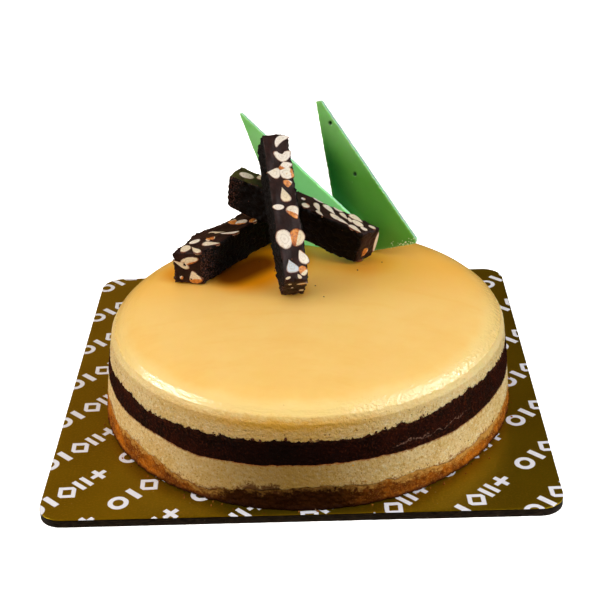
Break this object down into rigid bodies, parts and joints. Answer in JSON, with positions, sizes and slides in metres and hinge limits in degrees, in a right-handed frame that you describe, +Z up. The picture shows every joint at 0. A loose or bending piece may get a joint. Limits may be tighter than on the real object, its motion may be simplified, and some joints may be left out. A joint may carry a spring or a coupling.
{
  "type": "layered cheesecake on a cake board",
  "caption": "Round layered cheesecake with a chocolate layer, topped with bars of nut bark and thin green chocolate shards, on a square gold cake board.",
  "frame": {"origin": "centre of the board's underside", "axes": "+Z up through the cake, -Y towards the front where the bars point, +X to the right"},
  "size_m": [0.254, 0.254, 0.1414],
  "materials": {
    "gold_card": "satin gold film on card, printed in white",
    "biscuit_crumb": "baked biscuit crumb, rough with greasy patches",
    "cheesecake": "pale baked filling, matte and porous",
    "chocolate_cake": "dark moist chocolate, crumbly at its edges",
    "baked_topping": "smooth golden baked top with a satin gloss",
    "nut_bark": "dark chocolate with pale cut nuts, satin on the cut faces",
    "green_chocolate": "smooth green chocolate, satin"
  },
  "bodies": {
    "root": {"board": "gold_card", "crumb_base": "biscuit_crumb", "lower_filling": "cheesecake", "chocolate_layer": "chocolate_cake", "upper_filling": "baked_topping", "bar_left": "nut_bark", "bar_cross": "nut_bark", "bar_front": "nut_bark", "shard_left": "green_chocolate", "shard_right": "green_chocolate"}
  },
  "joints": []
}
